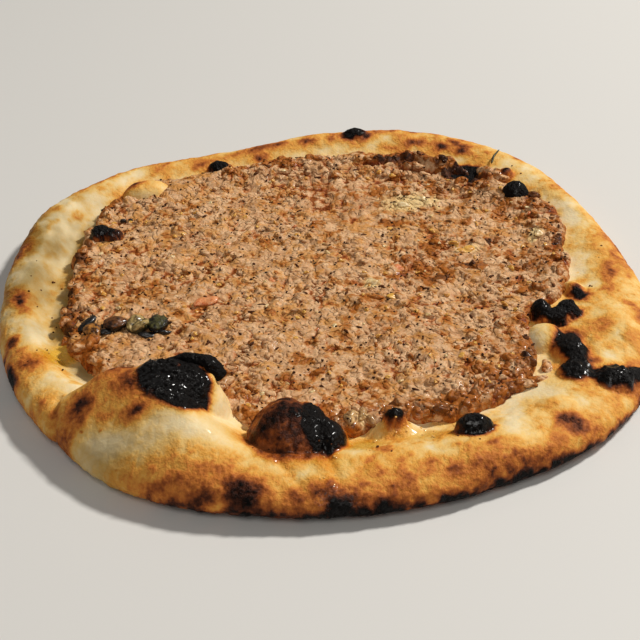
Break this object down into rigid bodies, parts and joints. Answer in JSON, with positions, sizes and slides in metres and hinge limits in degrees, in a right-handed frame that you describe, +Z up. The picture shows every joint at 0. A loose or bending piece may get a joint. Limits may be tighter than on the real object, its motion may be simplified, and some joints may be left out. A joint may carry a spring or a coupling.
{
  "type": "meat manakish",
  "caption": "Round hand-stretched flatbread with a puffed, blistered rim, spread to the rim with a layer of seasoned minced meat and a few grilled vegetable pieces.",
  "frame": {"origin": "centre of the bread's box, on the flat surface that the bread lies on", "axes": "+Z up through the thickness, +X to the right and +Y to the back as the bread is served"},
  "size_m": [0.2538, 0.25, 0.0299],
  "materials": {
    "crust": "baked dough, pale cream to golden and orange-brown, with dark toasted patches and black blisters",
    "meat": "cooked minced meat, pinkish tan with browned crumbs and dark pepper specks, slightly moist",
    "grilled_vegetable": "grilled vegetable, olive brown to black, oily",
    "char": "charred crust, black and partly glossy",
    "pepper": "ground black pepper",
    "fat": "cooked onion and fat, pale and slightly clear",
    "oil": "clear golden cooking oil, wet",
    "herb": "dried herb"
  },
  "bodies": {
    "root": {"bread": "crust", "meat_topping": "meat", "pepper_corner": "grilled_vegetable", "pepper_oval": "grilled_vegetable", "pepper_strip": "grilled_vegetable", "pepper_end": "grilled_vegetable"}
  },
  "joints": []
}
